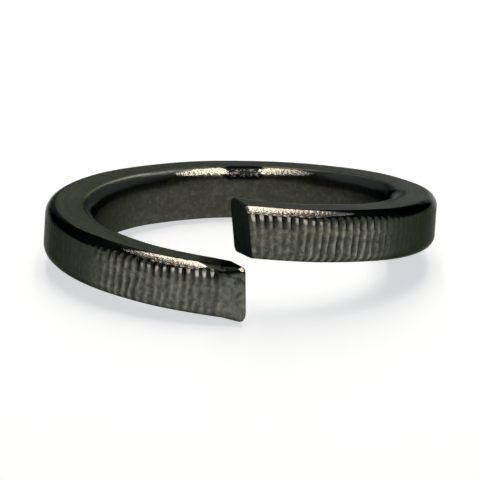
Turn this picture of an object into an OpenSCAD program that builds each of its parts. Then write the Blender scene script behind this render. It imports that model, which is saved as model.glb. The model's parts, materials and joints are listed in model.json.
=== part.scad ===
// Spring lock washer: one coil of square spring steel bar, slit on a slant and lifted like one
// turn of a screw. The outer wall carries fine upright ribs, and the low end is pressed flat
// where the bar was sheared off.
// The bore axis is +Z, the lowest point is at z = 0 and the slit faces -Y.

/* [Ring] */
// Diameter of the bore
bore_d = 28.2; // [26:0.1:30]
// Width of the bar, from the bore to the outer wall
bar_w = 4.9; // [4.5:0.1:5.5]
// Height of the bar
bar_h = 5.1; // [4.8:0.05:5.5]
// Free height, from the bottom face at the low end to the top face at the high end
free_h = 11.15; // [10.8:0.05:12]

/* [Edges] */
// Rounding between the top face and the outer wall
round_top_out = 1.04; // [0.8:0.01:1.2]
// Rounding between the bottom face and the outer wall
round_bottom_out = 1.15; // [0.8:0.01:1.2]
// Rounding between the top face and the bore
round_top_in = 1.57; // [0.8:0.01:1.7]
// Rounding between the bottom face and the bore
round_bottom_in = 0.44; // [0.3:0.01:0.8]

/* [Ribs] */
// Ribs round the whole outer wall
rib_count = 138; // [100:1:138]
// Depth of the grooves between the ribs
groove_depth = 0.14; // [0.05:0.01:0.2]
// Height of the faint line across the grooves, as a share of the bar's height
break_share = 0.61; // [0.45:0.01:0.7]
// Depth of the grooves on that line, as a share of their full depth
break_depth_share = 0.45; // [0.1:0.05:1]
// Depth of the grooves at their top ends, where they run out in the rounding
groove_top_depth = 0.26; // [0.05:0.01:0.35]
// How far the ribs lean sideways below that line, as a share of their pitch
rib_lean_share = 0.3; // [0:0.05:0.5]

/* [Slit] */
// Slant of the cut against the radius, seen from above
cut_slant = 20.4; // [10:0.1:25]
// Lean of the low end's face against the bore axis, seen from the front
cut_lean_low = 4; // [0:0.1:10]
// Lean of the high end's face against the bore axis, seen from the front
cut_lean_high = 8.5; // [0:0.1:10]
// Bevel round the edges of both end faces
end_bevel = 0.18; // [0.1:0.01:0.3]
// Length over which the shearing has squeezed the bar out of shape, at either end
tip_len = 2; // [1:0.1:3]
// How far the low end swells below the bottom face
tip_drop = 0.16; // [0.1:0.01:0.4]
// Rounding of the low end's heel, between its cut face and the bottom face
tip_heel = 0.45; // [0.2:0.01:0.8]
// How far the low end's outer edge swells above the top face
tip_rise = 0.16; // [0:0.01:0.3]
// How far the low end's inner edge sinks below the top face
tip_sink = 0.06; // [0:0.01:0.2]
// Rounding left between the top face and the outer wall at the low end
tip_round_top = 0.45; // [0.3:0.01:1]
// Rounding left between the bottom face and the outer wall at the low end
tip_round_bottom = 0.9; // [0.3:0.01:1]
// How far the high end's inner edge hangs below the bottom face
burr_drop = 0.28; // [0:0.01:0.4]
// Rounding left between the top face and the bore at the high end
burr_round = 1.2; // [0.3:0.01:1.5]

/* [Hidden] */

steel = [0.27, 0.28, 0.23];
full_turn = 360;

bore_r = bore_d / 2;
outer_r = bore_r + bar_w;
mid_r = bore_r + bar_w / 2;
climb = free_h - bar_h;
break_h = bar_h * break_share;

// The coil reaches a little into the bore, and the bore is then cut through it as one cylinder.
bore_spare = 0.3;
cut_spare = 1;
bore_facets = 180;
// The inner roundings stop at this angle, just short of the bore's wall, and go on straight.
inner_sweep = 75;
inner_slope = tan(inner_sweep);
// Steps along each rounding of the section, and along the smallest one
round_steps = 3;
small_round_steps = 2;

rib_angle = full_turn / rib_count;
degrees_per_mm = full_turn / (2 * PI * outer_r);
bevel_angle = end_bevel * degrees_per_mm;
tip_angle = tip_len * degrees_per_mm;
// The cut's lean fades into upright ribs over this angle, on each side of the slit.
lean_fade = 20;

function mix(a, b, share) = a + (b - a) * share;
function limit(x) = max(0, min(1, x));

// A rounding in the bar's section, as points [distance from the bore axis, height].
function rounding(centre, radius, from, to, steps) =
    [for (i = [0:steps]) let (angle = mix(from, to, i / steps))
        centre + radius * [cos(angle), sin(angle)]];

// The same points with the outer wall cut back to a groove's bottom.
function cut_back(points, wall) = [for (p = points) [min(p.x, wall), p.y]];

// The bar's section, from the bottom face round the outer wall to the top face and the bore.
// swell is 1 at the low end's cut and fades to 0 away from it, and burr is the same at the
// high end. heel is how far the bottom face is lifted by the low end's rounded heel. grooved is
// true where a groove is cut into the outer wall.
function bar_section(swell, burr, heel, grooved) =
    let (
        groove = grooved ? groove_depth : 0,
        groove_top = grooved ? groove_top_depth : 0,
        outer_top = bar_h + tip_rise * swell,
        inner_top = bar_h - tip_sink * swell,
        outer_bottom = heel - tip_drop * limit(swell * tip_len / (tip_len - tip_heel)),
        inner_bottom = outer_bottom - burr_drop * burr,
        top_out = mix(round_top_out, tip_round_top, swell),
        bottom_out = mix(round_bottom_out, tip_round_bottom, swell),
        top_in_r = mix(round_top_in, burr_round, burr),
        top_in = rounding([bore_r + top_in_r, inner_top - top_in_r],
            top_in_r, 90, 90 + inner_sweep, round_steps),
        bottom_in = rounding([bore_r + round_bottom_in, inner_bottom + round_bottom_in],
            round_bottom_in, 270 - inner_sweep, 270, small_round_steps),
        lining = bore_r - bore_spare
    )
    concat(
        cut_back(rounding([outer_r - bottom_out, outer_bottom + bottom_out],
            bottom_out, -90, 0, round_steps), outer_r - groove),
        [[outer_r - groove * break_depth_share, break_h]],
        cut_back(rounding([outer_r - top_out, outer_top - top_out],
            top_out, 0, 90, round_steps), outer_r - groove_top),
        top_in,
        [[lining, top_in[round_steps].y - (top_in[round_steps].x - lining) * inner_slope],
         [lining, bottom_in[0].y + (bottom_in[0].x - lining) * inner_slope]],
        bottom_in
    );

// A section drawn in on all sides, for the rim of a bevelled end face.
function drawn_in(section) =
    let (centre = [mid_r, bar_h / 2], size = [bar_w, bar_h])
    [for (p = section) [for (k = [0:1])
        centre[k] + (p[k] - centre[k]) * (1 - 2 * end_bevel / size[k])]];

// How far round a point of the section lies behind the station's angle, so that each section
// is as slanted as the cut. lean is the angle of the cut's lean that is left there.
function setback(p, lean) =
    cut_slant - asin((mid_r * sin(cut_slant)
        + (p.y - bar_h / 2) * tan(lean) * cos(cut_slant)) / p.x);

// How far round the ribs' lower stretch runs ahead of the upper one.
function rib_shift(p) =
    rib_angle * rib_lean_share * limit(1 - p.y / break_h)
        * limit((p.x - mid_r) / (outer_r - mid_r));

// Angle of a section's point, counted clockwise from the middle of the slit.
function turned(p, station) =
    let (
        end_lean = station < full_turn / 2 ? cut_lean_low : cut_lean_high,
        left = limit(1 - min(station, full_turn - station) / lean_fade)
    )
    station - setback(p, end_lean * left) + rib_shift(p) * (1 - left);

// Height of a section's point on the climbing coil.
function climbed(p, station) = p.y + climb * turned(p, station) / full_turn;

function placed(p, station) =
    let (angle = turned(p, station))
    [-p.x * sin(angle), -p.x * cos(angle), climbed(p, station) - lowest];

function swell_at(station) = limit(1 - station / tip_angle);
function burr_at(station) = limit(1 - (full_turn - station) / tip_angle);
function heel_at(station) =
    let (left = max(0, tip_heel - station / degrees_per_mm))
    tip_heel - sqrt(pow(tip_heel, 2) - pow(left, 2));

// The ribs and grooves take turns, and the flattened tip has none.
function grooved_at(i, station) = i % 2 == 1 && station > tip_angle;

function section_at(station, grooved = false) =
    bar_section(swell_at(station), burr_at(station), heel_at(station), grooved);

// The stations along the coil, each as [angle, section].
stations = concat(
    [[0, drawn_in(section_at(0))], [bevel_angle, section_at(bevel_angle)]],
    [for (i = [1:2 * rib_count - 1]) let (angle = i * rib_angle / 2)
        [angle, section_at(angle, grooved_at(i, angle))]],
    [[full_turn - bevel_angle, section_at(full_turn - bevel_angle)],
     [full_turn, drawn_in(section_at(full_turn))]]
);
lowest = min([for (s = stations) for (p = s[1]) climbed(p, s[0])]);

rows = len(stations);
sides = len(stations[0][1]);
coil_points = [for (s = stations) for (p = s[1]) placed(p, s[0])];
function at(row, side) = row * sides + side % sides;
coil_faces = concat(
    [for (row = [0:rows - 2]) for (side = [0:sides - 1]) each [
        [at(row, side), at(row + 1, side + 1), at(row, side + 1)],
        [at(row, side), at(row + 1, side), at(row + 1, side + 1)]]],
    [for (side = [1:sides - 2]) [at(0, 0), at(0, side), at(0, side + 1)]],
    [for (side = [1:sides - 2])
        [at(rows - 1, 0), at(rows - 1, side + 1), at(rows - 1, side)]]
);

module coil() {
    polyhedron(points = coil_points, faces = coil_faces, convexity = 6);
}

module bore() {
    translate([0, 0, -cut_spare])
        cylinder(r = bore_r, h = free_h + 2 * (cut_spare + tip_drop), $fn = bore_facets);
}

module lock_washer() {
    color(steel)
        difference() {
            coil();
            bore();
        }
}

lock_washer();
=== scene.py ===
"""The looks of a spring lock washer: one finely ribbed coil of dark spring steel on a pale table."""

import json
import math

import bpy
import numpy as np
from mathutils import Matrix, Vector


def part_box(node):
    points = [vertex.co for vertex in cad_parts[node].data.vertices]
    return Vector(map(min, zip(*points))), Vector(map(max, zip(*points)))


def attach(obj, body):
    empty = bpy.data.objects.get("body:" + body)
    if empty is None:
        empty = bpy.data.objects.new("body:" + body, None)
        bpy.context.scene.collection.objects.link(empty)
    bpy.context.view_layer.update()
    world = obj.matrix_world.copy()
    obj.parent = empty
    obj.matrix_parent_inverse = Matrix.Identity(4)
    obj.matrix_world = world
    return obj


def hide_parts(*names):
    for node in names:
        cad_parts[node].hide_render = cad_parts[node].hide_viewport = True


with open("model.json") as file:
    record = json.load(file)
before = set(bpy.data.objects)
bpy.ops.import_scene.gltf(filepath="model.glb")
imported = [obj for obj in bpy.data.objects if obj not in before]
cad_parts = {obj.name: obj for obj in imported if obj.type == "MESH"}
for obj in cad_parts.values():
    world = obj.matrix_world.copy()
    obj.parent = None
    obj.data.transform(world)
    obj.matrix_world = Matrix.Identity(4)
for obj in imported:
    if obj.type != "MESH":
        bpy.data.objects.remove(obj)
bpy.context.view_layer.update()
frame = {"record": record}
NODE = "lock_washer"
MM = 0.001
TURN = 2 * math.pi

# Ring, in millimetres. The radii are from the frame, the bar's height and climb as in the source.
bore_mount = next(m for m in frame["record"]["mounts"] if m["name"] == "bore")
BORE_R = bore_mount["dims"]["r_mm"]
OUTER_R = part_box(NODE)[1].y / MM
MID_R = (BORE_R + OUTER_R) / 2
BAR_W = OUTER_R - BORE_R
BAR_H = 5.1
CLIMB = 6.05
SECTION_CENTRE = np.array([MID_R, BAR_H / 2])

# Roundings of the bar's section, in millimetres
ROUND_TOP_OUT = 1.04
ROUND_BOTTOM_OUT = 1.15
ROUND_TOP_IN = 1.57
ROUND_BOTTOM_IN = 0.44
# Steps along each rounding and each straight side of the section, from the bottom outer rounding
ROUND_STEPS = (8, 18, 10, 4)
SIDE_STEPS = (15, 5, 5, 5)

# Slit, in radians and millimetres
CUT_SLANT = math.radians(20.4)
CUT_LEAN_LOW = math.radians(4)
CUT_LEAN_HIGH = math.radians(8.5)
LEAN_FADE = math.radians(20)
TIP_LEN = 2.0
TIP_ANGLE = TIP_LEN / OUTER_R
TIP_DROP = 0.16
TIP_HEEL = 0.45
TIP_RISE = 0.16
TIP_SINK = 0.06
TIP_ROUND_TOP = 0.45
TIP_ROUND_BOTTOM = 0.9
BURR_DROP = 0.28
BURR_ROUND = 1.2
# The ends' bevels, with the stations on them and the first one past them as shares of their width
END_BEVEL = 0.18
BEVEL_ANGLE = END_BEVEL / OUTER_R
BEVEL_SHARES = (0.0, 0.15, 0.4, 1.0)
BEVEL_CLEAR = 1.5
# Rings that fill each end face. The smallest is this share of a step in size.
END_RINGS = 7
LAST_RING = 0.6

# Ribs, in millimetres and in shares of their pitch and depth
RIB_COUNT = 138
STATIONS_PER_RIB = 8
GROOVE_DEPTH = 0.14
RIB_LEAN_SHARE = 0.3
RIB_UNEVEN = 0.25
RIB_WANDER = 0.06
# They begin near the end of the pressed tip, in shares of its length.
RIBS_FROM = 0.8
RIBS_OVER = 0.5
# Across them runs a faint line, at this share of the bar's height.
BREAK_SHARE = 0.61
BREAK_H = BAR_H * BREAK_SHARE
BREAK_DEPTH_SHARE = 0.45
BREAK_WIDTH = 0.22
# Below the line they wobble, more so near the low end. The pattern sinks from rib to rib.
RIB_WOBBLE = 0.035
WOBBLE_SINK = 0.6
LOW_END = math.radians(44)
LOW_END_OVER = math.radians(16)
LOW_END_WOBBLE = 2
# They stand a little closer together over this angle at both ends.
CLOSER_ANGLE = math.radians(28)
CLOSER_RIBS = 0.8
# They are faint at the left and right sides, between these degrees from the slit.
RIB_FAINT = 0.92
RIB_FAINT_FROM = 37
RIB_FAINT_UNTIL = 129
RIB_FAINT_OVER = 17
# Near the slit their lower stretches are faint too, up to these degrees at the low and high end.
END_FAINT = 0.55
LOW_END_FAINT = 36
HIGH_END_FAINT = 20
END_FAINT_OVER = 14
# They are on the part of the section this far outside its middle, as a share of its width.
RIBBED_SHARE = 0.2
RIBBED_FROM = MID_R + BAR_W * RIBBED_SHARE
# Near the top the grooves deepen into scallops, from and to these depths below the top face.
SCALLOP_DEPTH = 0.2
SCALLOP_FROM = 1.75
SCALLOP_TO = 0.75
SCALLOP_POWER = 1.5
# The grooves run out this far below the top face, and over this height.
RUN_OUT = 0.42
RUN_OUT_OVER = 0.45

# Upper ends of the ribs, in millimetres below the top face
RIB_END_HIGH = 0.40
RIB_END_SOFT = 0.25
# Away from the slit they are lower, from and over these degrees.
END_DROP = 0.58
END_DROP_FROM = 6
END_DROP_OVER = 20
# On the left they are lower still.
LEFT_DROP = 0.35
LEFT_DROP_FROM = 28
LEFT_DROP_OVER = 35
LEFT_DROP_UNTIL = 180
LEFT_DROP_FADE = 60

# Random curves, as seed and wavelengths: in ribs, for the wobble in millimetres of height
WANDER_HIGH = (3, (2.3, 3.7, 7.1, 17.0))
WANDER_LOW = (4, (2.1, 4.3, 8.3, 15.0))
UNEVEN_HIGH = (5, (1.9, 3.1, 9.7))
UNEVEN_LOW = (6, (2.2, 3.6, 11.3))
UNEVEN_ENDS = (12, (1.7, 2.9, 5.3))
WOBBLE = (9, (1.7, 2.9))

# Fine unevenness of the drawn bar, in millimetres, with its random curves in degrees
WAVE_RADIAL = 0.015
WAVE_HEIGHT = 0.02
RADIAL_CURVE = (7, (23.0, 41.0, 77.0))
HEIGHT_CURVE = (8, (31.0, 53.0, 97.0))
# Degrees in a radian, rounded
WAVE_DEGREES = 57.3

# Painted shade in the grooves, low and near the top, and how far it fades at the sides
GROOVE_DARK_LOW = 0.70
GROOVE_DARK_HIGH = 1.25
GROOVE_DARK_OVER = 0.4
GROOVE_DARK_FADE = 0.6
# Painted highlights on the ribs' crests, weaker near the low end and, up to some degrees, at the slit
CREST_POWER = 2
CREST_LOW_END_LOSS = 0.4
CREST_AT_SLIT = 0.45
CREST_CLEAR_FROM = 8
CREST_CLEAR_OVER = 16

# Softness of the bands on the top roundings, in degrees, and how fast they set in along the coil
BAND_SOFT = 14
BAND_TAPER = 4
# Below, a band is its middle and half width, in degrees up from the wall that it rounds off.
# An edge is stretches of the coil: start, full from, full to and end, in degrees from the slit.

# Where the dark finish shows bare steel: partly wear, partly a painted highlight
HIGHLIT_WEAR_OUTER_BAND = (50, 25)
HIGHLIT_WEAR_OUTER_EDGE = ((-4, -3, -1.2, 0.4), (8, 13, 24, 40), (320, 342, 359, 366))
HIGHLIT_WEAR_INNER_BAND = (51, 14)
HIGHLIT_WEAR_INNER_EDGE = ((148, 164, 171, 176), (185, 190, 199, 213))
HIGHLIGHT_SPOTS_BAND = (42, 22)
HIGHLIGHT_SPOTS_SHARE = 0.30
# The ribs' upper ends show bare steel, partly wear and partly a painted highlight, down to this depth,
# but at least over this length, in millimetres.
HIGHLIT_WORN_RIB_ENDS = ((4, 8, 20, 40), (326, 344, 359, 364))
HIGHLIT_ENDS_LOW = 1.55
HIGHLIT_ENDS_LENGTH = 0.80
HIGHLIT_ENDS_UNEVEN = 0.13
HIGHLIT_ENDS_TOP_SOFT = 0.2
HIGHLIT_ENDS_LOW_SOFT = 0.7
# This bare steel lies where the rib's crest reaches this share.
HIGHLIT_CREST_FROM = 0.14
HIGHLIT_CREST_OVER = 0.34

# Painted dark reflections, where the finish is painted blackest, and by how much
BLACK_OUTER_BAND = (44, 38)
BLACK_OUTER_EDGE = ((-8, -6, 46, 86), (274, 314, 366, 368))
BLACK_OUTER_SHARE = 0.8
BLACK_INNER_BAND = (46, 33)
BLACK_INNER_EDGE = ((170, 175, 186, 191),)
BLACK_INNER_SHARE = 1.15
BLACK_RIM_BAND = (17, 17)
BLACK_RIM_EDGE = ((15, 35, 142, 158), (203, 216, 330, 350))
BLACK_RIM_SHARE = 0.6
BLACK_RIGHT_BAND = (48, 44)
BLACK_RIGHT_EDGE = ((256, 268, 296, 320),)
# The pressed tip's top has a painted dark reflection too, and it fades behind it, in millimetres.
BLACK_TIP_SHARE = 1.15
BLACK_TIP_BEHIND = 0.5
BLACK_TIP_REACH = 2.6 * TIP_LEN
BLACK_TIP_FADE = 3
BLACK_TIP_DEPTH = 0.45
BLACK_TIP_SOFT = 0.2

# The bore's top rounding has a painted pale reflection above the black, and the bore has painted shade
# at both sides.
PALE_RIM_BAND = (52, 21)
PALE_RIM_EDGE = ((82, 102, 136, 158), (206, 226, 242, 258))
DARK_BORE_EDGE = ((20, 60, 114, 144), (218, 246, 300, 340))
DARK_BORE_SHARE = 0.65
# The bore's finish reaches this far from its wall, in millimetres.
BORE_REACH = 0.3
BORE_SOFT = 0.25

# The outer wall's finish reaches this far inwards and starts this far below the top face.
WALL_REACH = 0.45
WALL_TOP = 0.35
WALL_TOP_SOFT = 0.15
# Towards the low end the wall is paler, most of all on the pressed tip.
PALER_ANGLE = math.radians(46)
PALER_OVER = PALER_ANGLE * 0.6
PALER_SHARE = 0.45
TIP_SOFT = 0.3
# The low end's wall is blotched over this length, down to this far below the top face.
BLOTCHED_LEN = 4.2
BLOTCHED_OVER = 1.2
BLOTCHED_LOW = 1.9
BLOTCHED_LOW_SOFT = 0.9
BLOTCHED_TOP_SOFT = 0.3

# Lines scored round the top face: their radii in millimetres, and how they fade across
SCORED_LINES = (16.65, 17.35, 17.62)
LINE_FADE = (0.01, 0.045, 0.32, 0.0)
# The top face's finish starts and is full this far below it, in millimetres.
TOP_FROM = 0.25
TOP_FULL = 0.05

# Attributes that each row of the coil brings, and those worked out for the whole mesh
ROW_MARKS = ("groove", "crest", "worn", "ends", "black")
MESH_MARKS = ("cut", "rounded", "rim", "inside", "blotched", "far", "tip")

# Noises of the finish: what they follow, scale, detail and roughness
# The drawn bar has scales across, up and along it, per millimetre, and the object's are per metre.
NOISES = {
    "streaks": ("drawn", (9.0, 9.0, 0.16), 5.0, 0.6),
    "broad": ("drawn", (0.9, 0.9, 0.07), 3.0, 0.55),
    "mottle": ("object", 1300.0, 5.0, 0.65),
    "speckle": ("object", 3000.0, 3.0, 0.6),
    "patches": ("object", 1200.0, 5.0, 0.7),
    "blotches": ("object", 1500.0, 2.0, 0.5),
    "grain": ("object", 2400.0, 2.0, 0.5),
    "rubs": ("object", 1900.0, 3.0, 0.6),
    "torn": ("object", (700.0, 700.0, 250.0), 4.0, 0.6),
}

# Ranges of a noise or mark, from and to, and the shares that they stand for
BLUISH_RANGE = (0.42, 0.62, 0.0, 1.0)
MOTTLE_RANGE = (0.36, 0.68, 0.0, 0.6)
DULL_RANGE = (0.40, 0.66, 0.0, 0.65)
DULL_BORE_RANGE = (0.0, 1.0, 0.4, 1.0)
STREAK_RANGE = (0.55, 0.80, 0.0, 0.35)
PALE_GRAIN_RANGE = (0.52, 0.66, 0.0, 0.55)
DARK_GRAIN_RANGE = (0.46, 0.34, 0.0, 0.55)
CREST_RANGE = (0.36, 0.62, 0.95, 0.10)
LINE_RANGE = (0.35, 0.6, 0.1, 1.1)
BLOTCH_RANGE = (0.47, 0.56, 0.0, 1.0)
HIGHLIT_WEAR_SPECKLE_RANGE = (0.32, 0.60, 0.36, 1.35)
HIGHLIT_WEAR_RANGE = (0.30, 0.60, 0.0, 1.0)
ENDS_MOTTLE_RANGE = (0.30, 0.62, 1.25, 0.55)
ENDS_RANGE = (0.25, 0.80, 0.0, 1.0)

# Colours of the dark finish, of the painted highlights, shade and dark reflections on it, and the
# shares at which some of them cover what is below
OLIVE = (0.106, 0.106, 0.075, 1)
BLUISH = (0.072, 0.084, 0.078, 1)
TOP_COLOUR = (0.066, 0.075, 0.069, 1)
TOP_COVER = 0.8
BORE_COLOUR = (0.098, 0.101, 0.073, 1)
TIP_COLOUR = (0.145, 0.150, 0.125, 1)
MOTTLE_COLOUR = (0.050, 0.050, 0.036, 1)
DULL_COLOUR = (0.065, 0.066, 0.050, 1)
STREAK_COLOUR = (0.15, 0.145, 0.115, 1)
PALE_GRAIN = (0.20, 0.20, 0.155, 1)
DARK_GRAIN = (0.040, 0.043, 0.033, 1)
# Painted highlight on the ribs' crests
CREST_HIGHLIGHT_COLOUR = (0.30, 0.30, 0.245, 1)
LINE_COLOUR = (0.30, 0.29, 0.24, 1)
# Painted shade in the grooves
GROOVE_SHADE_COLOUR = (0.022, 0.024, 0.017, 1)
GROOVE_SHADE_COVER = 0.8
# Painted shade at both sides of the outer wall and the bore
FAR_SHADE_COLOUR = (0.035, 0.039, 0.031, 1)
FAR_SHADE_COVER = 0.9
# Painted pale reflection on the bore's top rounding
RIM_REFLECTION_COLOUR = (0.26, 0.265, 0.225, 1)
RIM_REFLECTION_COVER = 0.8
# Painted dark reflections on the roundings and the tip
BLACK_REFLECTION_COLOUR = (0.008, 0.0115, 0.012, 1)
BLACK_REFLECTION_COVER = 0.85
BLOTCH_COLOUR = (0.022, 0.028, 0.026, 1)
BLOTCH_COVER = 0.8
CUT_COLOUR = (0.024, 0.034, 0.030, 1)
CUT_COVER = 0.9
# Bare steel, partly wear and partly painted highlights
BARE_STEEL_HIGHLIGHT = (0.62, 0.57, 0.49, 1)
# The grain is weaker on the top face and in the bore, by these shares.
TOP_GRAIN_LOSS = 0.7
BORE_GRAIN_LOSS = 0.5
# Tints of the steel's reflections at grazing angles; the second dims them under the painted dark
# reflections
EDGE_TINT = (0.38, 0.39, 0.38, 1)
BLACK_REFLECTION_EDGE_TINT = (0.08, 0.10, 0.11, 1)

# Roughness along the streaks, and what each mark adds to it
ROUGHNESS_RANGE = (0.3, 0.7, 0.30, 0.42)
ROUGHNESS_ADDED = {"rounded": -0.17, "inside": 0.15, "rubbed": 0.06, "cut": 0.2, "ends": 0.12}
# Relief: what the streaks and the mottle add to the fine one, and both strengths and depths
STREAK_RELIEF = 0.3
MOTTLE_RELIEF = 0.7
FINE_STRENGTH = 0.8
FINE_DEPTH = 0.03 * MM
PIT_STRENGTH = 1.0
PIT_DEPTH = 0.07 * MM

# Table, in metres. In the part's own frame it slopes: the washer leans on its tip and far side.
TABLE_HALF = 3.0
TABLE_SLOPE_X = 0.0621
TABLE_SLOPE_Y = 0.0965
TABLE_PAINT = (0.8, 0.8, 0.8, 1)
TABLE_GLOW = 0.60
TABLE_GLOW_COLOUR = (0.975, 1.0, 1.03, 1)

# Surround: the heights, as sines, up to which it is lit behind, beside and in front, and its levels
BACK_RISE = 0.14
SIDE_RISE = -0.02
FRONT_RISE = 0.46
SOFT_EDGE = 0.06
BACK_LEVEL = 0.28
CEILING = 0.05
BACK_CEILING = 0.12
BACK_TONE = (0.82, 1.0, 1.10, 1)
FRONT_TONE = (1.0, 0.99, 0.95, 1)
# The way to its front, and ranges of how far a direction points there
FRONT_WAY = Vector((0.1, -0.995, 0.0))
FRONT_RANGE = (-0.6, 0.6)
FRONT_EDGE_RANGE = (0.35, 0.95, SIDE_RISE, FRONT_RISE)
BACK_EDGE_RANGE = (-0.35, -0.85, SIDE_RISE, BACK_RISE)
LEVEL_RANGE = (0.0, 1.0, BACK_LEVEL, 1.0)
CEILING_RANGE = (0.0, 0.7, BACK_CEILING, CEILING)

# Two strip lights overhead, in metres
STRIP_HEIGHT = 0.5
STRIP_WIDTH = 0.08
STRIP_APART = 0.145
STRIP_FRONT = -0.3
STRIP_BACK = 1.2
STRIP_RADIANCE = 3.8
STRIP_COLOUR = (1.0, 0.93, 0.84)

# Camera: a long lens, aimed as the photograph is, with its distances in the washer's outer radii
CAMERA_AZIMUTH = math.radians(0.44)
CAMERA_ELEVATION = math.radians(12.09)
CAMERA_RADII = 30
AIM_DROP_RADII = 0.088
PIXELS_PER_RADIUS = 195.0
FRAME_PIXELS = 480.0
SENSOR_MM = 36.0
CLIP_START = 0.01
CLIP_END = 20


def mix(a, b, share):
    return a + (b - a) * share


def limit(x):
    return np.clip(x, 0.0, 1.0)


def smooth(x):
    x = limit(x)
    return x * x * (3 - 2 * x)


def rising(x, start, over):
    """0 up to the start, and 1 from that much further on."""
    return smooth((x - start) / over)


def falling(x, end, over):
    """0 from the end on, and 1 up to that much before it."""
    return smooth((end - x) / over)


def ripple(x, curve):
    """A smooth random curve of about unit height, made of sines of the given wavelengths."""
    seed, waves = curve
    draw = np.random.RandomState(seed)
    x = np.asarray(x, float)
    total = np.zeros_like(x)
    for wave in waves:
        total += np.sin(x * TURN / wave + draw.uniform(0, TURN))
    return total / math.sqrt(len(waves))


# Places along the coil

def from_slit(angle):
    """Degrees between a place on the coil and the slit, on the nearer side."""
    degrees = np.degrees(angle)
    return np.minimum(degrees, 360 - degrees)


def stretch_share(angle, stretches):
    """How far a place along the coil lies in one of the stretches."""
    degrees = np.degrees(angle)
    share = np.zeros_like(degrees)
    for start, full_from, full_to, end in stretches:
        rise = rising(degrees, start, full_from - start)
        fall = falling(degrees, end, end - full_to)
        share = np.maximum(share, np.minimum(rise, fall))
    return share


def at_the_sides(angle):
    """How far a place lies in the stretches beside the slit where the ribs are faint."""
    away = from_slit(angle)
    return rising(away, RIB_FAINT_FROM, RIB_FAINT_OVER) * falling(away, RIB_FAINT_UNTIL, RIB_FAINT_OVER)


def at_low_end(angle):
    """How far a place lies in the low end's last stretch."""
    return falling(angle, LOW_END, LOW_END_OVER)


def on_tip(angle):
    """How far a place lies on the pressed tip."""
    return falling(angle * OUTER_R, TIP_LEN, TIP_SOFT)


def rib_number(angle):
    """How many ribs lie between the slit and a place on the coil."""
    closer = limit(angle / CLOSER_ANGLE) + limit((angle - TURN) / CLOSER_ANGLE + 1)
    return angle * RIB_COUNT / TURN + CLOSER_RIBS * closer


def ribs_begun(angle):
    """How far the ribs have begun behind the pressed tip, which has none."""
    return rising(angle, TIP_ANGLE * RIBS_FROM, TIP_ANGLE * RIBS_OVER)


def rib_end(angle):
    """How far below the top face the ribs' upper ends lie."""
    degrees = np.degrees(angle)
    left = rising(degrees, LEFT_DROP_FROM, LEFT_DROP_OVER)
    left = left * falling(degrees, LEFT_DROP_UNTIL, LEFT_DROP_FADE)
    drop = END_DROP * rising(from_slit(angle), END_DROP_FROM, END_DROP_OVER)
    return RIB_END_HIGH + drop + LEFT_DROP * left


# The bar's section, as points of distance from the bore axis and height

def rounding(centre, radius, start, end, steps):
    """The points of an arc, from one angle to another in degrees."""
    angles = np.radians(np.linspace(start, end, steps + 1))
    return [(centre[0] + radius * math.cos(a), centre[1] + radius * math.sin(a)) for a in angles]


def straight(start, end, steps):
    """The points between two ends, without the ends."""
    shares = np.linspace(0, 1, steps + 1)[1:-1]
    return [(mix(start[0], end[0], s), mix(start[1], end[1], s)) for s in shares]


def bar_section(swell, burr, heel):
    """The bar's section, from the bottom face round the outer wall, the top face and the bore."""
    outer_top = BAR_H + TIP_RISE * swell
    inner_top = BAR_H - TIP_SINK * swell
    outer_bottom = heel - TIP_DROP * limit(swell * TIP_LEN / (TIP_LEN - TIP_HEEL))
    inner_bottom = outer_bottom - BURR_DROP * burr
    top_out = mix(ROUND_TOP_OUT, TIP_ROUND_TOP, swell)
    bottom_out = mix(ROUND_BOTTOM_OUT, TIP_ROUND_BOTTOM, swell)
    top_in = mix(ROUND_TOP_IN, BURR_ROUND, burr)
    corners = [
        rounding((OUTER_R - bottom_out, outer_bottom + bottom_out), bottom_out, -90, 0, ROUND_STEPS[0]),
        rounding((OUTER_R - top_out, outer_top - top_out), top_out, 0, 90, ROUND_STEPS[1]),
        rounding((BORE_R + top_in, inner_top - top_in), top_in, 90, 180, ROUND_STEPS[2]),
        rounding((BORE_R + ROUND_BOTTOM_IN, inner_bottom + ROUND_BOTTOM_IN),
                 ROUND_BOTTOM_IN, 180, 270, ROUND_STEPS[3]),
    ]
    points = []
    for k, corner in enumerate(corners):
        points += corner
        points += straight(corner[-1], corners[(k + 1) % 4][0], SIDE_STEPS[k])
    return np.array(points)


def rounding_angles():
    """For each point of the section, its angle on the outer and on the inner top rounding."""
    lengths = [n for pair in zip(ROUND_STEPS, SIDE_STEPS) for n in (pair[0] + 1, pair[1] - 1)]
    starts = np.cumsum([0] + lengths)
    outer = np.full(starts[-1], -90.0)
    inner = np.full(starts[-1], -90.0)
    outer[starts[2]:starts[3]] = np.linspace(0, 90, ROUND_STEPS[1] + 1)
    inner[starts[4]:starts[5]] = np.linspace(90, 0, ROUND_STEPS[2] + 1)
    return outer, inner


OUTER_ANGLES, INNER_ANGLES = rounding_angles()
# How far each point of the section lies on one of the top roundings, from 0 at their ends to 1
ROUNDED = np.sqrt(np.sin(np.radians(np.clip(np.maximum(OUTER_ANGLES, INNER_ANGLES), 0, 90) * 2)))


def section_at(station):
    """The section at a station, as the shearing left it at both ends, and still without ribs."""
    swell = float(limit(1 - station / TIP_ANGLE))
    burr = float(limit(1 - (TURN - station) / TIP_ANGLE))
    missing = max(0.0, TIP_HEEL - station * OUTER_R)
    heel = TIP_HEEL - math.sqrt(TIP_HEEL ** 2 - missing ** 2)
    return bar_section(swell, burr, heel)


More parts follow.
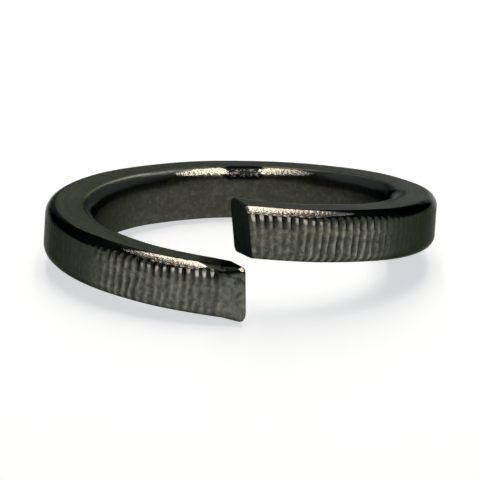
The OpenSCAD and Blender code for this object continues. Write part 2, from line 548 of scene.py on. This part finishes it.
def bevelled(section, station):
    """The section, shrunk on all sides where it lies on the rounded bevel of an end face."""
    from_end = min(station, TURN - station)
    if from_end >= BEVEL_ANGLE:
        return section
    share = from_end / BEVEL_ANGLE
    inwards = END_BEVEL * (1 - math.sqrt(limit(2 * share - share ** 2)))
    scale = 1 - 2 * inwards / np.array([BAR_W, BAR_H])
    return SECTION_CENTRE + (section - SECTION_CENTRE) * scale


# The ribs

def below_break(z):
    """How far a height lies below the faint line across the ribs."""
    return falling(z, BREAK_H + BREAK_WIDTH / 2, BREAK_WIDTH)


def rib_wave(z, angle):
    """The ribs' wave at each height of a station: 0 on a crest and 1 in the middle of a groove."""
    rib = rib_number(angle)
    lower = below_break(z)
    lean = RIB_LEAN_SHARE * limit(1 - z / BREAK_H)
    wander_high = RIB_WANDER * ripple(rib, WANDER_HIGH)
    wander_low = RIB_WANDER * ripple(rib, WANDER_LOW)
    wobble = RIB_WOBBLE * (1 + LOW_END_WOBBLE * at_low_end(angle))
    wobble = wobble * ripple(z + rib * WOBBLE_SINK, WOBBLE) * lower
    phase = (rib - lean + mix(wander_high, wander_low, lower) + wobble) * TURN
    return 0.5 - 0.5 * np.cos(phase)


def groove_gain(z, angle):
    """The share of their full depth that the grooves have at each height of a station."""
    rib = rib_number(angle)
    lower = below_break(z)
    gain_high = 1 + RIB_UNEVEN * ripple(rib, UNEVEN_HIGH)
    gain_low = 1 + RIB_UNEVEN * ripple(rib, UNEVEN_LOW)
    gain = mix(gain_high, gain_low, lower) * ribs_begun(angle) * (1 - RIB_FAINT * at_the_sides(angle))
    faint_until = LOW_END_FAINT if angle < math.pi else HIGH_END_FAINT
    near_end = falling(from_slit(angle), faint_until, END_FAINT_OVER)
    line = np.exp(-((z - BREAK_H) / BREAK_WIDTH) ** 2)
    return gain * (1 - END_FAINT * lower * near_end) * (1 - (1 - BREAK_DEPTH_SHARE) * line)


def cut_back(section, wave, gain):
    """The section with the grooves cut into its outer wall."""
    r, z = section[:, 0], section[:, 1]
    scallop = limit((SCALLOP_FROM - (BAR_H - z)) / (SCALLOP_FROM - SCALLOP_TO))
    taken = GROOVE_DEPTH * wave * gain
    taken = taken + SCALLOP_DEPTH * wave ** SCALLOP_POWER * gain * scallop ** SCALLOP_POWER
    run_out = falling(z, BAR_H - RUN_OUT, RUN_OUT_OVER)
    cut = mix(r, np.minimum(r, OUTER_R - taken), run_out)
    return np.column_stack([np.where(r > RIBBED_FROM, cut, r), z])


def rib_marks(section, angle, wave, gain):
    """How far each point is a groove with painted shade, a crest with a painted highlight, and a crest
    whether highlit or not.
    """
    z = section[:, 1]
    ribbed = section[:, 0] > RIBBED_FROM
    faint = at_the_sides(angle)
    rib_top = BAR_H - rib_end(angle)
    height = rising(z, BAR_H - HIGHLIT_ENDS_LOW, GROOVE_DARK_OVER)
    dark = mix(GROOVE_DARK_LOW, GROOVE_DARK_HIGH, height) * (1 - faint * GROOVE_DARK_FADE)
    # Painted shade in the grooves, deeper higher up
    groove = ribbed * wave * gain * dark * falling(z, rib_top + RIB_END_SOFT, RIB_END_SOFT)
    crest = ribbed * (1 - wave) ** CREST_POWER * ribs_begun(angle)
    clear = mix(CREST_AT_SLIT, 1.0, rising(from_slit(angle), CREST_CLEAR_FROM, CREST_CLEAR_OVER))
    clear = clear * (1 - CREST_LOW_END_LOSS * at_low_end(angle))
    # Painted highlight on the crests
    rubbed = crest * clear * (1 - faint) * falling(z, rib_top, RIB_END_SOFT)
    return groove, rubbed, crest


# The wear with its painted highlights, and the painted dark reflections

def band_share(angles, band, share):
    """How far a point lies in a band along a rounding, which grows narrower as the share falls."""
    middle, half_width = band
    inside = smooth((half_width * share - np.abs(angles - middle)) / BAND_SOFT + 0.5)
    return inside * limit(share * BAND_TAPER)


def outer_band(band, angle, stretches):
    """How far a row's points lie in a band on the outer top rounding, over these stretches."""
    return band_share(OUTER_ANGLES, band, stretch_share(angle, stretches))


def inner_band(band, angle, stretches):
    """How far a row's points lie in a band on the bore's top rounding, over these stretches."""
    return band_share(INNER_ANGLES, band, stretch_share(angle, stretches))


def worn_edges(angle):
    """The share of bare steel on the top roundings, partly wear and partly a painted highlight, with
    some painted highlight spots in the far edge's dark gap.
    """
    outer = outer_band(HIGHLIT_WEAR_OUTER_BAND, angle, HIGHLIT_WEAR_OUTER_EDGE)
    inner = inner_band(HIGHLIT_WEAR_INNER_BAND, angle, HIGHLIT_WEAR_INNER_EDGE)
    # Painted highlight spots in the dark gap of the bore's far edge
    spots = HIGHLIGHT_SPOTS_SHARE * inner_band(HIGHLIGHT_SPOTS_BAND, angle, BLACK_INNER_EDGE)
    return np.maximum(np.maximum(outer, inner), spots)


def worn_rib_ends(section, angle, crest):
    """The share of bare steel on the ribs' upper ends, partly wear and partly a painted highlight."""
    below_top = BAR_H - section[:, 1]
    high = rib_end(angle)
    uneven = HIGHLIT_ENDS_UNEVEN * ripple(rib_number(angle), UNEVEN_ENDS)
    low = np.maximum(high + HIGHLIT_ENDS_LENGTH, HIGHLIT_ENDS_LOW) + uneven
    ends = rising(below_top, high - HIGHLIT_ENDS_TOP_SOFT / 2, HIGHLIT_ENDS_TOP_SOFT)
    ends = ends * falling(below_top, low, HIGHLIT_ENDS_LOW_SOFT)
    return ends * rising(crest, HIGHLIT_CREST_FROM, HIGHLIT_CREST_OVER) * stretch_share(angle, HIGHLIT_WORN_RIB_ENDS)


def black_tip(section, angle):
    """How far a painted dark reflection blackens the pressed tip's top and behind it."""
    behind = falling(angle * OUTER_R, BLACK_TIP_REACH, BLACK_TIP_FADE)
    along = np.maximum(on_tip(angle), BLACK_TIP_BEHIND * behind)
    on_top = rising(section[:, 1], BAR_H - BLACK_TIP_DEPTH, BLACK_TIP_SOFT)
    return BLACK_TIP_SHARE * along * on_top


def blackened(section, angle):
    """Painted dark reflections: black on the outer top edge, the tip, and parts of the bore's top edge.
    """
    shares = (
        BLACK_OUTER_SHARE * outer_band(BLACK_OUTER_BAND, angle, BLACK_OUTER_EDGE),
        BLACK_INNER_SHARE * inner_band(BLACK_INNER_BAND, angle, BLACK_INNER_EDGE),
        BLACK_RIM_SHARE * inner_band(BLACK_RIM_BAND, angle, BLACK_RIM_EDGE),
        inner_band(BLACK_RIGHT_BAND, angle, BLACK_RIGHT_EDGE),
        black_tip(section, angle),
    )
    return np.maximum.reduce(shares)


# The coil

def setback(r, z, lean):
    """How far behind the station a point of the slanted section lies, in radians."""
    across = MID_R * math.sin(CUT_SLANT) + (z - BAR_H / 2) * math.tan(lean) * math.cos(CUT_SLANT)
    return CUT_SLANT - np.arcsin(across / r)


def placed(section, station):
    """A section's points in the part's frame, and their angles round the coil."""
    r, z = section[:, 0], section[:, 1]
    end_lean = CUT_LEAN_LOW if station < math.pi else CUT_LEAN_HIGH
    lean = end_lean * limit(1 - min(station, TURN - station) / LEAN_FADE)
    angle = station - setback(r, z, lean)
    height = z + CLIMB * angle / TURN
    return np.column_stack([-r * np.sin(angle), -r * np.cos(angle), height]), angle


def waved(points, station):
    """The points, moved by the fine unevenness of the drawn bar."""
    radial = WAVE_RADIAL * ripple(station * WAVE_DEGREES, RADIAL_CURVE)
    height = WAVE_HEIGHT * ripple(station * WAVE_DEGREES, HEIGHT_CURVE)
    scale = 1 - abs(radial) / OUTER_R
    return points * [scale, scale, 1] + [0, 0, height]


def stations():
    """The angles of the coil's rows: so many to a rib, and closer ones on the ends' bevels."""
    steps = RIB_COUNT * STATIONS_PER_RIB
    clear = BEVEL_ANGLE * BEVEL_CLEAR
    first = [BEVEL_ANGLE * share for share in BEVEL_SHARES]
    between = [TURN * k / steps for k in range(1, steps)]
    last = [TURN - BEVEL_ANGLE * share for share in reversed(BEVEL_SHARES)]
    return first + [a for a in between if clear < a < TURN - clear] + last


def coil_row(station):
    """One row of the coil: its points, sections, angles and the marks that its finish goes by."""
    whole = section_at(station)
    wave = rib_wave(whole[:, 1], station)
    gain = groove_gain(whole[:, 1], station)
    groove, rubbed, crest = rib_marks(whole, station, wave, gain)
    section = bevelled(cut_back(whole, wave, gain), station)
    points, angle = placed(section, station)
    return {
        "points": waved(points, station),
        "section": section,
        "angle": angle,
        "groove": groove,
        "crest": rubbed,
        "worn": worn_edges(angle),
        "ends": worn_rib_ends(section, angle, crest),
        "black": blackened(section, angle),
    }


def end_rings(section, station):
    """Rows that fill an end's cut face: shrinking copies of its section, with no marks."""
    rows = []
    for k in range(1, END_RINGS + 1):
        share = 1 - k / (END_RINGS + LAST_RING)
        ring = SECTION_CENTRE + (section - SECTION_CENTRE) * share
        points, angle = placed(ring, station)
        row = {"points": points, "section": ring, "angle": angle}
        row.update({name: np.zeros(len(ring)) for name in ROW_MARKS})
        rows.append(row)
    return rows


def coil_faces(rows, sides):
    """Four-sided faces from each row to the next, and one face in the middle of each end."""
    faces = []
    for row in range(rows - 1):
        for side in range(sides):
            a = row * sides + side
            b = row * sides + (side + 1) % sides
            faces.append((a, a + sides, b + sides, b))
    faces.append(tuple(range(sides)))
    faces.append(tuple(reversed(range((rows - 1) * sides, rows * sides))))
    return faces


def wall_marks(section, angle, inside):
    """The marks blotched, tip and far, which is painted shade at both sides, in the bore too."""
    outer_wall = section[:, 0] > OUTER_R - WALL_REACH
    below_top = BAR_H - section[:, 1]
    blotched = falling(angle * OUTER_R, BLOTCHED_LEN, BLOTCHED_OVER) * outer_wall
    blotched = blotched * falling(below_top, BLOTCHED_LOW, BLOTCHED_LOW_SOFT)
    blotched = blotched * rising(below_top, 0, BLOTCHED_TOP_SOFT)
    # Painted shade: the bore and the outer wall darker at both sides
    dark_bore = DARK_BORE_SHARE * inside * stretch_share(angle, DARK_BORE_EDGE)
    far = np.maximum(at_the_sides(angle) * outer_wall, dark_bore)
    paler = np.maximum(on_tip(angle), PALER_SHARE * falling(angle, PALER_ANGLE, PALER_OVER))
    on_wall = falling(section[:, 1], BAR_H - WALL_TOP, WALL_TOP_SOFT) * outer_wall
    return {"blotched": blotched, "far": far, "tip": paler * on_wall}


def mesh_marks(section, angle, rows):
    """The marks that are worked out for the whole mesh at once."""
    cut = np.zeros((rows, len(ROUNDED)))
    cut[:END_RINGS + 1] = 1
    cut[-END_RINGS - 1:] = 1
    cut = cut.ravel()
    inner_angles = np.tile(INNER_ANGLES, rows)
    # Painted pale reflection on the bore's top rounding
    pale_rim = band_share(inner_angles, PALE_RIM_BAND, stretch_share(angle, PALE_RIM_EDGE))
    inside = falling(section[:, 0], BORE_R + BORE_REACH, BORE_SOFT)
    marks = wall_marks(section, angle, inside)
    marks["cut"] = cut
    marks["rounded"] = np.tile(ROUNDED, rows) * (1 - cut)
    marks["rim"] = pale_rim * (1 - cut)
    marks["inside"] = inside
    return marks


def add_attribute(mesh, name, values):
    """Give each point of the mesh a number, or a vector where the values have columns."""
    kind, field = ("FLOAT", "value") if values.ndim == 1 else ("FLOAT_VECTOR", "vector")
    layer = mesh.attributes.new(name, kind, "POINT")
    layer.data.foreach_set(field, np.asarray(values, np.float32).ravel())


def washer_mesh():
    """The whole coil as one closed mesh that stands on z = 0, with its marks as attributes."""
    coil = [coil_row(station) for station in stations()]
    low_end = end_rings(coil[0]["section"], 0.0)
    high_end = end_rings(coil[-1]["section"], TURN)
    rows = low_end[::-1] + coil + high_end
    joined = {name: np.concatenate([row[name] for row in rows]) for name in rows[0]}
    points, section, angle = joined["points"], joined["section"], joined["angle"]
    points[:, 2] -= points[:, 2].min()
    mesh = bpy.data.meshes.new("washer_coil")
    mesh.from_pydata((points * MM).tolist(), [], coil_faces(len(rows), len(ROUNDED)))
    add_attribute(mesh, "drawn", np.column_stack([section, angle * MID_R]))
    for name in ROW_MARKS:
        add_attribute(mesh, name, joined[name])
    marks = mesh_marks(section, angle, len(rows))
    for name in MESH_MARKS:
        add_attribute(mesh, name, marks[name])
    mesh.polygons.foreach_set("use_smooth", [True] * len(mesh.polygons))
    mesh.update()
    return mesh


class Nodes:
    """Makes and links shader nodes."""

    def __init__(self, tree):
        self.tree = tree
        tree.nodes.clear()

    def add(self, kind, settings=None, **inputs):
        node = self.tree.nodes.new(kind)
        for name, value in (settings or {}).items():
            setattr(node, name, value)
        for name, value in inputs.items():
            self.feed(node, name.replace("_", " "), value)
        return node

    def feed(self, node, name, value):
        """Link or set an input, given by its name or its number as text."""
        socket = node.inputs[int(name)] if name.isdigit() else node.inputs[name]
        if isinstance(value, bpy.types.NodeSocket):
            self.tree.links.new(value, socket)
        else:
            socket.default_value = value

    def fed(self, kind, settings, *values):
        """A new node with its first inputs fed in order."""
        node = self.add(kind, settings)
        for index, value in enumerate(values):
            self.feed(node, str(index), value)
        return node

    def math(self, operation, *values):
        return self.fed("ShaderNodeMath", {"operation": operation}, *values).outputs[0]

    def times(self, a, b):
        return self.math("MULTIPLY", a, b)

    def dot(self, a, b):
        node = self.fed("ShaderNodeVectorMath", {"operation": "DOT_PRODUCT"}, a, b)
        return node.outputs["Value"]

    def remap(self, value, low, high, to_low=0.0, to_high=1.0):
        return self.fed("ShaderNodeMapRange", None, value, low, high, to_low, to_high).outputs[0]

    def attribute(self, name, output="Fac"):
        return self.add("ShaderNodeAttribute", {"attribute_name": name}).outputs[output]

    def noise(self, place, scale, detail, roughness):
        """A noise with one scale, or with one for each axis."""
        if isinstance(scale, tuple):
            place = self.add("ShaderNodeMapping", Vector=place, Scale=scale).outputs["Vector"]
            scale = 1.0
        node = self.add("ShaderNodeTexNoise", Vector=place, Scale=scale, Detail=detail,
                        Roughness=roughness)
        return node.outputs["Fac"]

    def blend(self, share, a, b):
        """From colour a to colour b with the share."""
        node = self.add("ShaderNodeMix", {"data_type": "RGBA"})
        self.feed(node, "0", share)
        self.feed(node, "6", a)
        self.feed(node, "7", b)
        return node.outputs[2]


def scored_lines(n, radius, noises):
    """Thin broken lines that run round the top face."""
    total = 0.0
    for line in SCORED_LINES:
        off = n.math("ABSOLUTE", n.math("SUBTRACT", radius, line))
        total = n.math("ADD", total, n.remap(off, *LINE_FADE))
    return n.times(total, n.remap(noises["patches"], *LINE_RANGE))


def oxide_layers(n, marks, noises):
    """The even dark finish: its tones on each side, mottled, streaked and grained."""
    dull = n.times(n.remap(noises["patches"], *DULL_RANGE), n.remap(marks["inside"], *DULL_BORE_RANGE))
    grain_loss = n.math("MAXIMUM", n.times(marks["top"], TOP_GRAIN_LOSS),
                        n.times(marks["inside"], BORE_GRAIN_LOSS))
    grained = n.math("SUBTRACT", 1.0, grain_loss)
    return [
        (n.remap(noises["broad"], *BLUISH_RANGE), BLUISH),
        (n.times(marks["top"], TOP_COVER), TOP_COLOUR),
        (marks["inside"], BORE_COLOUR),
        (marks["tip"], TIP_COLOUR),
        (n.remap(noises["mottle"], *MOTTLE_RANGE), MOTTLE_COLOUR),
        (dull, DULL_COLOUR),
        (n.remap(noises["streaks"], *STREAK_RANGE), STREAK_COLOUR),
        (n.times(grained, n.remap(noises["grain"], *PALE_GRAIN_RANGE)), PALE_GRAIN),
        (n.times(grained, n.remap(noises["grain"], *DARK_GRAIN_RANGE)), DARK_GRAIN),
    ]


def place_layers(n, marks, noises):
    """What differs from place to place: painted highlights on the crests, lines, painted shade in the
    grooves and at the sides, a painted reflection on the rim, painted dark reflections, and blotches.
    """
    spots = n.times(marks["blotched"], n.remap(noises["blotches"], *BLOTCH_RANGE))
    return [
        (n.times(marks["crest"], n.remap(noises["rubs"], *CREST_RANGE)), CREST_HIGHLIGHT_COLOUR),
        (marks["lines"], LINE_COLOUR),
        (n.times(marks["groove"], GROOVE_SHADE_COVER), GROOVE_SHADE_COLOUR),
        (n.times(marks["far"], FAR_SHADE_COVER), FAR_SHADE_COLOUR),
        (n.times(marks["rim"], RIM_REFLECTION_COVER), RIM_REFLECTION_COLOUR),
        (n.times(marks["black"], BLACK_REFLECTION_COVER), BLACK_REFLECTION_COLOUR),
        (n.times(spots, BLOTCH_COVER), BLOTCH_COLOUR),
    ]


def wear_layers(n, marks):
    """Bare steel, partly wear and partly painted highlights, on the edges and rib ends, and the end
    faces.
    """
    return [
        (marks["rubbed"], BARE_STEEL_HIGHLIGHT),
        (marks["bare_ends"], BARE_STEEL_HIGHLIGHT),
        (n.times(marks["cut"], CUT_COVER), CUT_COLOUR),
    ]


def steel_colour(n, marks, noises):
    """The steel's colour: olive, under all the layers in turn, with painted light and shade among them.
    """
    layers = oxide_layers(n, marks, noises) + place_layers(n, marks, noises) + wear_layers(n, marks)
    colour = OLIVE
    for share, tone in layers:
        colour = n.blend(share, colour, tone)
    return colour


def steel_edge_tint(n, marks):
    """The tint of reflections at grazing angles, much darker under the painted dark reflections."""
    bare_and_highlit = n.math("MAXIMUM", marks["rubbed"], marks["bare_ends"])
    return n.blend(n.times(marks["black"], n.math("SUBTRACT", 1.0, bare_and_highlit)), EDGE_TINT, BLACK_REFLECTION_EDGE_TINT)


def steel_roughness(n, marks, noises):
    """The steel's roughness, smoothest on the roundings."""
    roughness = n.remap(noises["streaks"], *ROUGHNESS_RANGE)
    for name, added in ROUGHNESS_ADDED.items():
        roughness = n.math("ADD", roughness, n.times(marks[name], added))
    return roughness


def steel_relief(n, marks, noises):
    """Fine relief all over, with pits on the edges' bare steel, which also carries painted highlights,
    and on the end faces.
    """
    fine = n.math("ADD", n.times(noises["streaks"], STREAK_RELIEF),
                  n.times(noises["mottle"], MOTTLE_RELIEF))
    pits = n.math("ADD", n.times(noises["speckle"], marks["worn"]),
                  n.times(noises["torn"], marks["cut"]))
    fine_bump = n.add("ShaderNodeBump", Strength=FINE_STRENGTH, Distance=FINE_DEPTH, Height=fine)
    pit_bump = n.add("ShaderNodeBump", Strength=PIT_STRENGTH, Distance=PIT_DEPTH, Height=pits,
                     Normal=fine_bump.outputs["Normal"])
    return pit_bump.outputs["Normal"]


def steel_marks(n, drawn, noises):
    """The mesh's marks, and those made from them: top, lines, and the bare steel with painted
    highlights on the edges and rib ends.
    """
    marks = {name: n.attribute(name) for name in ROW_MARKS + MESH_MARKS}
    section = n.add("ShaderNodeSeparateXYZ", Vector=drawn)
    marks["top"] = n.remap(section.outputs["Y"], BAR_H - TOP_FROM, BAR_H - TOP_FULL)
    marks["lines"] = n.times(scored_lines(n, section.outputs["X"], noises), marks["top"])
    # Bare steel on the edges: wear and painted highlight
    rubbed = n.times(marks["worn"], n.remap(noises["speckle"], *HIGHLIT_WEAR_SPECKLE_RANGE))
    marks["rubbed"] = n.remap(rubbed, *HIGHLIT_WEAR_RANGE)
    # Bare steel on the rib ends: wear and painted highlight
    bare_ends = n.times(marks["ends"], n.remap(noises["mottle"], *ENDS_MOTTLE_RANGE))
    marks["bare_ends"] = n.remap(bare_ends, *ENDS_RANGE)
    return marks


def steel_material():
    """Dark oxide on spring steel: drawn streaks, fine pits, painted shade in the grooves, worn edges
    with painted highlights, and painted dark reflections.
    """
    material = bpy.data.materials.new("spring_steel")
    material.use_nodes = True
    n = Nodes(material.node_tree)
    drawn = n.attribute("drawn", "Vector")
    places = {"drawn": drawn, "object": n.add("ShaderNodeTexCoord").outputs["Object"]}
    noises = {name: n.noise(places[place], *look) for name, (place, *look) in NOISES.items()}
    marks = steel_marks(n, drawn, noises)
    surface = n.add("ShaderNodeBsdfPrincipled", Metallic=1.0,
                    Base_Color=steel_colour(n, marks, noises),
                    Specular_Tint=steel_edge_tint(n, marks),
                    Roughness=steel_roughness(n, marks, noises),
                    Normal=steel_relief(n, marks, noises))
    n.add("ShaderNodeOutputMaterial", Surface=surface.outputs[0])
    return material


def table_normal():
    return Vector((-TABLE_SLOPE_X, -TABLE_SLOPE_Y, 1)).normalized()


def table_material():
    """White table: it glows a little, so that it looks white, and still takes the shadow."""
    material = bpy.data.materials.new("table")
    material.use_nodes = True
    n = Nodes(material.node_tree)
    path = n.add("ShaderNodeLightPath")
    paint = n.add("ShaderNodeBsdfDiffuse", Color=TABLE_PAINT).outputs[0]
    glow = n.add("ShaderNodeEmission", Color=TABLE_GLOW_COLOUR, Strength=TABLE_GLOW).outputs[0]
    seen = n.math("MAXIMUM", path.outputs["Is Camera Ray"], path.outputs["Is Glossy Ray"])
    seen = n.math("MAXIMUM", seen, path.outputs["Is Transmission Ray"])
    both = n.fed("ShaderNodeAddShader", None, paint, glow).outputs[0]
    mixed = n.fed("ShaderNodeMixShader", None, seen, paint, both)
    n.add("ShaderNodeOutputMaterial", Surface=mixed.outputs[0])
    return material


def add_table(points):
    """A wide table that touches the washer where it rests."""
    normal = table_normal()
    touch = min(Vector(p).dot(normal) for p in points)
    corners = [(x * TABLE_HALF, y * TABLE_HALF, 0) for x, y in ((-1, -1), (1, -1), (1, 1), (-1, 1))]
    mesh = bpy.data.meshes.new("table")
    mesh.from_pydata(corners, [], [(0, 1, 2, 3)])
    mesh.materials.append(table_material())
    table = bpy.data.objects.new("table", mesh)
    bpy.context.scene.collection.objects.link(table)
    turn = Vector((0, 0, 1)).rotation_difference(normal)
    table.matrix_world = Matrix.Translation(normal * touch) @ turn.to_matrix().to_4x4()


def world_light():
    """A low white surround, brightest in front, under a dark ceiling."""
    world = bpy.data.worlds.new("surround")
    bpy.context.scene.world = world
    world.use_nodes = True
    n = Nodes(world.node_tree)
    direction = n.add("ShaderNodeTexCoord").outputs["Generated"]
    rise = n.dot(direction, table_normal())
    ahead = n.dot(direction, FRONT_WAY)
    front = n.remap(ahead, *FRONT_RANGE)
    edge = n.math("MAXIMUM", n.remap(ahead, *FRONT_EDGE_RANGE), n.remap(ahead, *BACK_EDGE_RANGE))
    glow = n.remap(n.math("SUBTRACT", rise, edge), -SOFT_EDGE, SOFT_EDGE, 1.0, CEILING)
    level = n.times(glow, n.remap(front, *LEVEL_RANGE))
    level = n.math("MAXIMUM", level, n.remap(front, *CEILING_RANGE))
    tone = n.blend(front, BACK_TONE, FRONT_TONE)
    background = n.add("ShaderNodeBackground", Color=tone, Strength=level)
    n.add("ShaderNodeOutputWorld", Surface=background.outputs[0])


def add_strip(name, x):
    """A long soft light overhead, from in front of the washer to far behind it."""
    light = bpy.data.lights.new(name, "AREA")
    light.shape = "RECTANGLE"
    light.size = STRIP_WIDTH
    light.size_y = STRIP_BACK - STRIP_FRONT
    light.color = STRIP_COLOUR
    light.energy = STRIP_RADIANCE * math.pi * light.size * light.size_y
    strip = bpy.data.objects.new(name, light)
    strip.location = (x, (STRIP_BACK + STRIP_FRONT) / 2, STRIP_HEIGHT)
    bpy.context.scene.collection.objects.link(strip)


def add_camera(height):
    """The photograph's viewing angle, level with the table."""
    a, e = CAMERA_AZIMUTH, CAMERA_ELEVATION
    forward = Vector((math.cos(e) * math.sin(a), math.cos(e) * math.cos(a), -math.sin(e)))
    right = forward.cross(table_normal()).normalized()
    up = right.cross(forward)
    target = Vector((0, 0, height)) - up * AIM_DROP_RADII * OUTER_R * MM
    place = target - forward * CAMERA_RADII * OUTER_R * MM
    camera = bpy.data.objects.new("camera", bpy.data.cameras.new("camera"))
    turn = Matrix((right, up, -forward)).transposed()
    camera.matrix_world = Matrix.Translation(place) @ turn.to_4x4()
    camera.data.sensor_width = SENSOR_MM
    camera.data.lens = PIXELS_PER_RADIUS * CAMERA_RADII * SENSOR_MM / FRAME_PIXELS
    camera.data.clip_start = CLIP_START
    camera.data.clip_end = CLIP_END
    bpy.context.scene.collection.objects.link(camera)
    bpy.context.scene.camera = camera


washer = bpy.data.objects.new("washer_coil", washer_mesh())
bpy.context.scene.collection.objects.link(washer)
washer.data.materials.append(steel_material())
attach(washer, "root")
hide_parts(NODE)

add_table([v.co for v in washer.data.vertices])
world_light()
add_strip("strip_left", -STRIP_APART / 2)
add_strip("strip_right", STRIP_APART / 2)
add_camera(((CLIMB + BAR_H) / 2 + TIP_DROP) * MM)
bpy.context.scene.view_settings.view_transform = "Standard"
